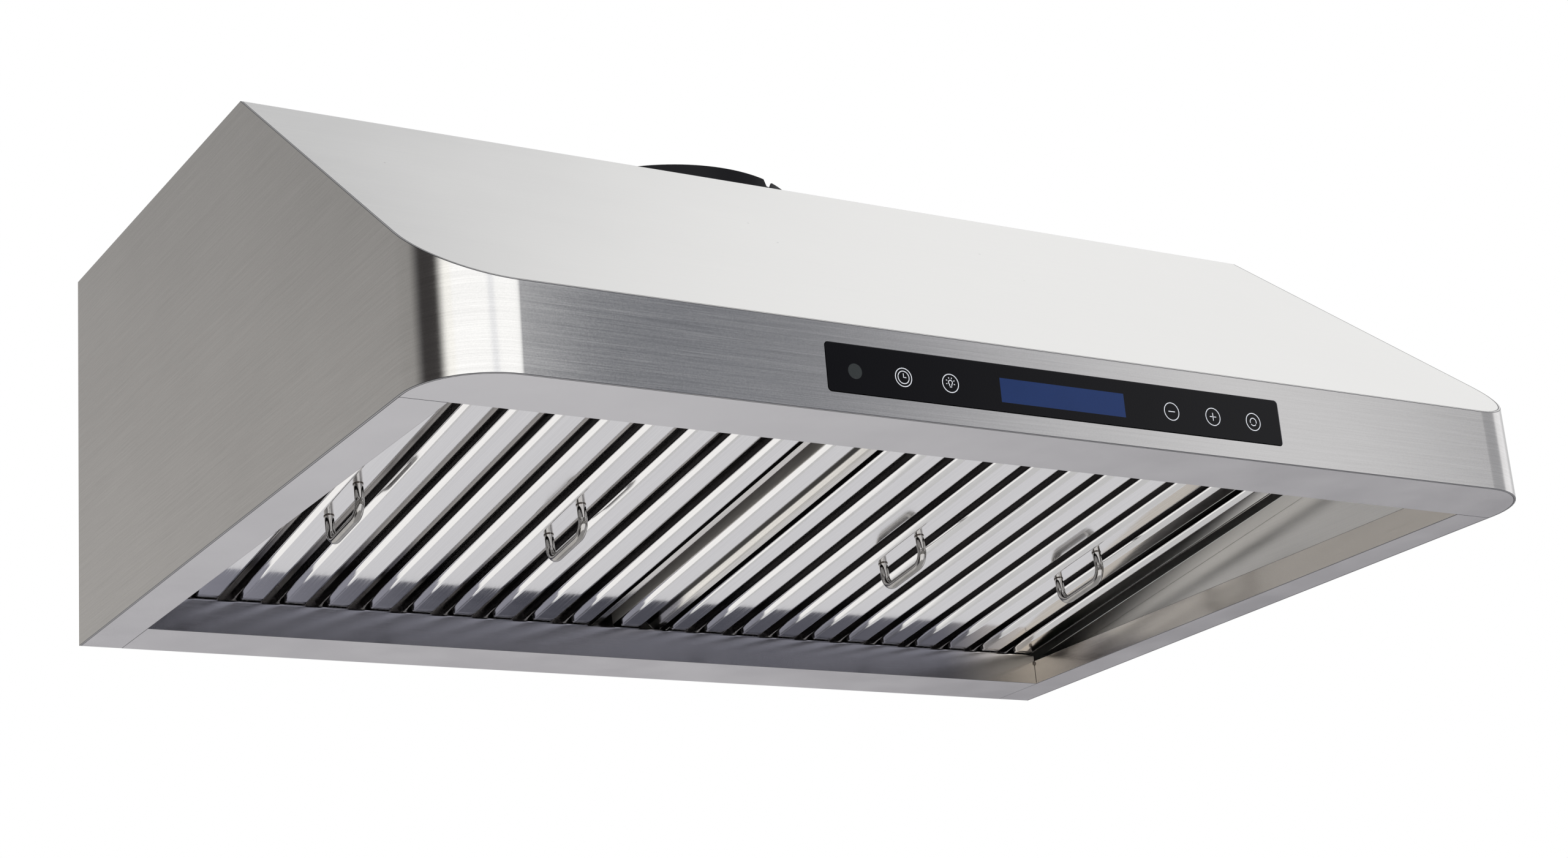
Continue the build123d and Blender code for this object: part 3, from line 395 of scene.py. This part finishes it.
MATERIALS = {
    "steel_shell": brushed("steel_shell", (0.55, 0.545, 0.535), 0.13, ALONG_XY, 0.18, 0.03),
    "steel_slope": specked("steel_slope", (0.80, 0.80, 0.79), 0.32, ALONG_X),
    "steel_rim": brushed("steel_rim", (0.71, 0.70, 0.705), 0.20, ALONG_XY, 0.12),
    "steel_inner": brushed("steel_inner", (0.71, 0.70, 0.685), 0.32, ALONG_Y, 0.09),
    # The right lip is a darker, warmer copy of the rim steel: painted shade.
    "steel_lip_side_painted_shade": brushed("steel_lip_side_painted_shade", (0.55, 0.52, 0.48), 0.20, ALONG_Y, 0.09),
    # The edge steel is darkened as painted shade along the rounded edges, the crease lines of the lips and
    # seams.
    "steel_edge_painted_shade": brushed("steel_edge_painted_shade", (0.13, 0.13, 0.14), 0.34, ALONG_XY, 0.10),
    "steel_lip": tinted("steel_lip", (0.155, 0.155, 0.18), 0.17, ALONG_X, (0.60, 0.56, 0.51)),
    "steel_filter": polished("steel_filter", (0.83, 0.825, 0.83), 0.10),
    # The gap and wall steel are darkened as painted shade of the narrow gaps between baffles.
    "steel_gap_painted_shade": painted_shade_steel("steel_gap_painted_shade", (0.33, 0.315, 0.31), 0.24),
    "steel_wall_painted_shade": painted_shade_steel("steel_wall_painted_shade", (0.13, 0.125, 0.125), 0.24),
    "steel_rail_painted_shade": bevel_shade("steel_rail_painted_shade", (0.72, 0.70, 0.67), 0.18),
    "steel_strip_wall": brushed("steel_strip_wall", (0.76, 0.73, 0.70), 0.50, ALONG_RIDGE, 0.12),
    # The handles' steel has a dark base colour that stands for dark surroundings in their reflections:
    # painted shade.
    "steel_handle": pitted("steel_handle", (0.35, 0.34, 0.33), 0.07),
    "weld": plain("weld", (0.10, 0.085, 0.075), 0.34, 1.0),
    "galvanised": brushed("galvanised", (0.62, 0.64, 0.66), 0.38, ALONG_XY, 0.16, cloud=0.7),
    "zinc_screw": pitted("zinc_screw", (0.62, 0.62, 0.60), 0.25),
    "black_paint": plain("black_paint", (0.0035, 0.0035, 0.005), 0.38, **{"Specular IOR Level": 0.12}),
    "black_glass": dust_and_glints("black_glass", (0.003, 0.003, 0.004), 0.06, **{"Specular IOR Level": 0.12}),
    "display_blue": plain("display_blue", (0.0075, 0.0235, 0.093), 0.15, **{"Specular IOR Level": 0.2}),
    "symbol_white": plain("symbol_white", (0.62, 0.64, 0.68), 0.4),
    # The sensor's pale specks are painted glints.
    "sensor_dark": dust_and_glints("sensor_dark", (0.018, 0.022, 0.022), 0.12, 900.0, 0.5),
    "lens_frost": plain("lens_frost", (0.85, 0.85, 0.82), 0.45),
    "tray_black": plain("tray_black", (0.03, 0.03, 0.032), 0.5),
    "board_green": plain("board_green", (0.02, 0.12, 0.05), 0.4),
    "motor_grey": plain("motor_grey", (0.09, 0.09, 0.095), 0.4),
    "white_can": plain("white_can", (0.75, 0.75, 0.73), 0.4),
    "box_grey": plain("box_grey", (0.6, 0.6, 0.58), 0.5),
}


# ---- Sheet metal with rounded edges, made from the CAD nodes ---------------------------------------

# Level above which a rim's upright faces belong to its lip, and the angle from which an edge between
# two faces counts as sharp.
RIM_TOP = cad_bounds[0][2] + 1.3 * MM
SHARP = math.radians(28)
# How far a face's normal must point up or down the filter to be its top or underside, and the same
# for a rail, whose bends are steeper.
FILTER_FLAT = 0.3
RAIL_FLAT = 0.68


def shell_side(middle, normal):
    """Inner faces of the wrap are duller than the outer ones."""
    outward = normal.x * middle.x + normal.y * (middle.y + 0.1)
    return 1 if outward < 0 and abs(normal.z) < 0.5 else 0


def under_side(middle, normal):
    """A filter piece is bright below, painted-shade dark on its gaps' walls, and plain steel on its top
    side.
    """
    rise = normal.dot(FILTER_UP)
    if rise < -FILTER_FLAT:
        return 0
    return 2 if rise > FILTER_FLAT else 1


def rail_side(middle, normal):
    """Flats and bevels of a filter's rails are bright; their bends and walls carry painted shade."""
    return 0 if normal.dot(FILTER_UP) < -RAIL_FLAT else 1


def lip_side(middle, normal):
    """Upright lip faces, above the flat of the rim."""
    return 1 if middle.z > RIM_TOP and abs(normal.z) < 0.9 else 0


def one_side(middle, normal):
    """The same finish all over."""
    return 0


# Node: materials, the rule that picks between them, and the radius of the edges in millimetres.
# Where the last material is the edge steel, darkened as painted shade, the rounded edges themselves have it.
SHEET_METAL = {
    "outer_wrap": (("steel_shell", "steel_inner", "steel_edge_painted_shade"), shell_side, 0.35),
    "slope_panel": (("steel_slope", "steel_edge_painted_shade"), one_side, 0.35),
    "top_panel": (("steel_shell",), one_side, 0.35),
    "back_panel": (("steel_shell",), one_side, 0.35),
    "rim_front": (("steel_rim", "steel_inner", "steel_edge_painted_shade"), lip_side, 0.35),
    "rim_back": (("steel_rim", "steel_lip", "steel_edge_painted_shade"), lip_side, 0.35),
    "rim_left": (("steel_rim", "steel_inner", "steel_edge_painted_shade"), lip_side, 0.35),
    "rim_right": (("steel_rim", "steel_lip_side_painted_shade", "steel_edge_painted_shade"), lip_side, 0.35),
    "side_ledge_left": (("steel_inner",), one_side, 0.3),
    "side_ledge_right": (("steel_inner",), one_side, 0.3),
    "centre_strip": (("steel_filter", "steel_strip_wall", "steel_strip_wall"), under_side, 0.2),
    "lamp_panel": (("steel_inner",), one_side, 0.3),
    "duct_collar": (("black_paint",), one_side, 0.3),
    "collar_flange": (("black_paint",), one_side, 0.3),
    "touch_glass": (("black_glass",), one_side, 0.3),
    "junction_box": (("galvanised",), one_side, 0.25),
    "outlet_plenum": (("galvanised",), one_side, 0.3),
    "filter_left_frame": (("steel_rail_painted_shade", "steel_wall_painted_shade"), rail_side, 0.2),
    "filter_right_frame": (("steel_rail_painted_shade", "steel_wall_painted_shade"), rail_side, 0.2),
    "filter_left_front_baffles": (("steel_filter", "steel_wall_painted_shade", "steel_rail_painted_shade"), under_side, 0.15),
    "filter_right_front_baffles": (("steel_filter", "steel_wall_painted_shade", "steel_rail_painted_shade"), under_side, 0.15),
    "filter_left_rear_baffles": (("steel_gap_painted_shade", "steel_gap_painted_shade", "steel_rail_painted_shade"), under_side, 0.15),
    "filter_right_rear_baffles": (("steel_gap_painted_shade", "steel_gap_painted_shade", "steel_rail_painted_shade"), under_side, 0.15),
}
NODE_MATERIALS = {
    "lamp_bodies": "galvanised", "lamp_bezels": "steel_handle", "lamp_lenses": "lens_frost",
    "filter_catches": "steel_inner", "display_window": "display_blue",
    "sensor_window": "sensor_dark", "control_board": "board_green", "control_tray": "tray_black",
    "collar_screws": "zinc_screw", "damper_pins": "zinc_screw",
    "damper_flap_left": "galvanised", "damper_flap_right": "galvanised",
    "blower_scroll": "galvanised", "impeller": "galvanised", "motor_shaft": "steel_handle",
    "motor": "motor_grey", "motor_bracket": "galvanised", "capacitor": "white_can",
    "wiring_plate": "galvanised", "power_box": "box_grey", "lamp_driver": "box_grey",
    "filter_left_handles": "steel_handle", "filter_right_handles": "steel_handle",
}

NODE_SLOT = {part["node"]: part["material_slot"] for part in record["subparts"]}
NODE_BODY = {name: body for body, names in record["behaviour"]["bodies"].items() for name in names}


def add_piece(name, mesh, body, slot_name, *materials):
    """A new piece of the object that rides on a body."""
    piece = bpy.data.objects.new(name, mesh)
    bpy.context.scene.collection.objects.link(piece)
    for material in materials:
        mesh.materials.append(MATERIALS[material])
    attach(piece, body)
    return piece


def sheet_copy(node, rule):
    """Clean copy of a node's mesh, with each face's finish picked by a rule."""
    mesh = nodes[node].data.copy()
    mesh.materials.clear()
    if "custom_normal" in mesh.attributes:
        mesh.attributes.remove(mesh.attributes["custom_normal"])
    work = bmesh.new()
    work.from_mesh(mesh)
    bmesh.ops.remove_doubles(work, verts=work.verts, dist=1e-6)
    bmesh.ops.dissolve_limit(work, angle_limit=math.radians(0.3), verts=work.verts, edges=work.edges)
    for face in work.faces:
        face.smooth = True
        face.material_index = rule(face.calc_center_median(), face.normal)
    work.to_mesh(mesh)
    work.free()
    mesh.set_sharp_from_angle(angle=SHARP)
    return mesh


def refine(node, materials, rule, radius):
    """Sheet metal piece with narrow rounded edges that stands for a CAD node."""
    mesh = sheet_copy(node, rule)
    piece = add_piece(node + "_sheet", mesh, NODE_BODY[node], NODE_SLOT[node], *materials)
    bevel = piece.modifiers.new("edges", "BEVEL")
    bevel.width = radius * MM
    bevel.segments = 2
    bevel.limit_method = "ANGLE"
    bevel.angle_limit = SHARP
    # Rounded edges take the dark edge steel, painted shade, where it is listed last.
    bevel.material = len(materials) - 1 if materials[-1] == "steel_edge_painted_shade" else -1
    even = piece.modifiers.new("normals", "WEIGHTED_NORMAL")
    even.keep_sharp = True
    even.weight = 80
    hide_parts(node)


def dress_nodes():
    """Refine the sheet metal and give every other node its material."""
    for node, (materials, rule, radius) in SHEET_METAL.items():
        refine(node, materials, rule, radius)
    for name, material in NODE_MATERIALS.items():
        node = nodes[name]
        node.data.materials.clear()
        node.data.materials.append(MATERIALS[material])


# ---- Symbols on the control glass -------------------------------------------------------------------

# Millimetres: the ring round each symbol, the width of its lines, how far they stand proud of the
# glass, how far the bulb is raised in its ring, and each symbol's place from the middle of the glass.
SYMBOL_RING = 5.3
SYMBOL_LINE = 0.50
SYMBOL_PROUD = 0.06
BULB_RAISE = 0.5
BULB_RAYS = (-20, 25, 70, 110, 155, 200)
SYMBOL_OFFSETS = {"clock": -109.6, "bulb": -78.6, "minus": 76.6, "plus": 107.4, "turn": 138.0}


def arc_points(radius, start, end, steps):
    """Points on an arc, in degrees from +X."""
    turns = [math.radians(start + (end - start) * i / steps) for i in range(steps + 1)]
    return [(radius * math.cos(a), radius * math.sin(a)) for a in turns]


def stroke(work, points, width, closed=False):
    """Raised line of one width along points (x, z) in millimetres, on the plane y = 0."""
    count = len(points)
    rows = []
    for i, (x, z) in enumerate(points):
        before = points[(i - 1) % count] if closed or i > 0 else points[i]
        after = points[(i + 1) % count] if closed or i < count - 1 else points[i]
        along = Vector((after[0] - before[0], after[1] - before[1])).normalized()
        side = Vector((-along.y, along.x)) * width / 2
        row = [work.verts.new(((x + s * side.x) * MM, y * MM, (z + s * side.y) * MM))
               for s, y in ((-1, 0.0), (-1, -SYMBOL_PROUD), (1, -SYMBOL_PROUD), (1, 0.0))]
        rows.append(row)
    last = count if closed else count - 1
    for i in range(last):
        a, b = rows[i], rows[(i + 1) % count]
        for k in range(4):
            work.faces.new((a[k], a[(k + 1) % 4], b[(k + 1) % 4], b[k]))
    if not closed:
        work.faces.new(rows[0])
        work.faces.new(rows[-1][::-1])


def beam_point(radius, angle):
    """Point on a ray of light from the little bulb, in degrees from +X."""
    turn = math.radians(angle)
    return radius * math.cos(turn), radius * math.sin(turn) + BULB_RAISE


def symbol_strokes(kind):
    """The lines of one touch symbol, each with whether it closes."""
    ring = (arc_points(SYMBOL_RING, 0, 352.5, 47), True)
    if kind == "turn":
        return [ring, (arc_points(2.3, -20, 200, 22), False), (arc_points(2.3, 220, 320, 12), False)]
    if kind == "clock":
        dial = (arc_points(3.6, 0, 352.5, 47), True)
        return [ring, dial, ([(0, 2.3), (0, 0), (1.8, 0)], False)]
    if kind == "bulb":
        globe = [(x, z + BULB_RAISE) for x, z in arc_points(1.3, -50, 230, 20)]
        body = [(-0.7, -1.5)] + globe[::-1] + [(0.7, -1.5)]
        rays = [([beam_point(2.3, angle), beam_point(3.1, angle)], False) for angle in BULB_RAYS]
        return [ring, (body, False), ([(-0.7, -2.1), (0.7, -2.1)], False)] + rays
    lines = [ring, ([(-2.4, 0), (2.4, 0)], False)]
    if kind == "plus":
        lines.append(([(0, -2.4), (0, 2.4)], False))
    return lines


def draw_symbols():
    """Printed touch symbols in two groups beside the display."""
    low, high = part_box("touch_glass")
    pane_low, pane_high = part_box("display_window")
    middle_x, middle_z = (low[0] + high[0]) / 2, (pane_low[2] + pane_high[2]) / 2
    for kind, offset in SYMBOL_OFFSETS.items():
        work = bmesh.new()
        for points, closed in symbol_strokes(kind):
            stroke(work, points, SYMBOL_LINE, closed)
        bmesh.ops.recalc_face_normals(work, faces=work.faces)
        bmesh.ops.translate(work, verts=work.verts, vec=(middle_x + offset * MM, low[1], middle_z))
        mesh = bpy.data.meshes.new("symbol_" + kind)
        work.to_mesh(mesh)
        work.free()
        add_piece("symbol_" + kind, mesh, "root", "control_glass", "symbol_white")


# ---- Weld beads ---------------------------------------------------------------------------------------

# Millimetres: the handles' wire, where their legs meet the ridges from the hinge line, the bead
# round each leg, and the spot, its drop below the lips' top, and the seam at the lips' corner.
HANDLE_RADIUS = 3.0
HANDLE_FEET = (-135.1, -181.9)
BEAD_RADIUS = 0.3
CORNER_BEAD = 1.1
CORNER_INSET = 0.2
CORNER_DROP = 2.0
CORNER_LINE = 0.3


def bead_ring(work, centre, axis, radius, bead):
    """Ring of weld around a wire, a little uneven."""
    around, across = 28, 8
    turn = Vector((0, 0, 1)).rotation_difference(axis).to_matrix()
    rows = []
    for i in range(around):
        a = 2 * math.pi * i / around
        swell = bead * (1.0 + 0.22 * math.sin(5 * a) + 0.12 * math.sin(9 * a + 1.0))
        row = []
        for k in range(across):
            b = 2 * math.pi * k / across
            out = radius + swell * math.cos(b)
            point = Vector((out * math.cos(a), out * math.sin(a), swell * math.sin(b)))
            row.append(work.verts.new(centre + turn @ point * MM))
        rows.append(row)
    for i in range(around):
        a, b = rows[i], rows[(i + 1) % around]
        for k in range(across):
            face = work.faces.new((a[k], b[k], b[(k + 1) % across], a[(k + 1) % across]))
            face.smooth = True


def filter_point(x, along, up):
    """Point in the hood's frame from a place on a filter, in millimetres from its hinge line."""
    hinge = HINGES["filter_right_swing"]
    y = hinge[1] + (along * math.cos(TILT) + (up + FILTER_FACE) * math.sin(TILT)) * MM
    z = hinge[2] + (-along * math.sin(TILT) + (up + FILTER_FACE) * math.cos(TILT)) * MM
    return Vector((x, y, z))


def weld_handles():
    """Weld ring at the foot of each leg of the pulls."""
    for side in ("left", "right"):
        low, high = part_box(f"filter_{side}_handles")
        work = bmesh.new()
        for x in (low[0] + HANDLE_RADIUS * MM, high[0] - HANDLE_RADIUS * MM):
            for along in HANDLE_FEET:
                foot = filter_point(x, along, -BEAD_RADIUS)
                bead_ring(work, foot, FILTER_UP, HANDLE_RADIUS, BEAD_RADIUS)
        mesh = bpy.data.meshes.new("handle_welds_" + side)
        work.to_mesh(mesh)
        work.free()
        add_piece("handle_welds_" + side, mesh, "filter_" + side, "handle_steel", "weld")


def weld_corner():
    """Weld spot and seam where the lips of the rear and right flanges meet."""
    side_low, side_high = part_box("rim_right")
    rear_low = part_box("rim_back")[0]
    corner = Vector((side_low[0], rear_low[1], side_high[2]))
    work = bmesh.new()
    bead = bmesh.ops.create_icosphere(work, subdivisions=3, radius=CORNER_BEAD * MM)["verts"]
    bmesh.ops.scale(work, verts=bead, vec=(1.0, 1.0, 1.5))
    away = Vector((CORNER_INSET, CORNER_INSET, CORNER_DROP)) * MM
    bmesh.ops.translate(work, verts=bead, vec=corner - away)
    reach = side_high[2] - side_low[2] - CORNER_DROP * MM
    seam = bmesh.ops.create_cone(work, cap_ends=True, segments=12, radius1=CORNER_LINE * MM,
                                 radius2=CORNER_LINE * MM, depth=reach)["verts"]
    bmesh.ops.translate(work, verts=seam, vec=corner - Vector((0, 0, (reach + CORNER_DROP * MM) / 2)))
    for face in work.faces:
        face.smooth = True
    mesh = bpy.data.meshes.new("corner_weld")
    work.to_mesh(mesh)
    work.free()
    add_piece("corner_weld", mesh, "root", NODE_SLOT["rim_right"], "weld")


# ---- Make the scene -----------------------------------------------------------------------------

dress_nodes()
draw_symbols()
weld_handles()
weld_corner()
light_studio()
lay_floor()
look_through_camera()
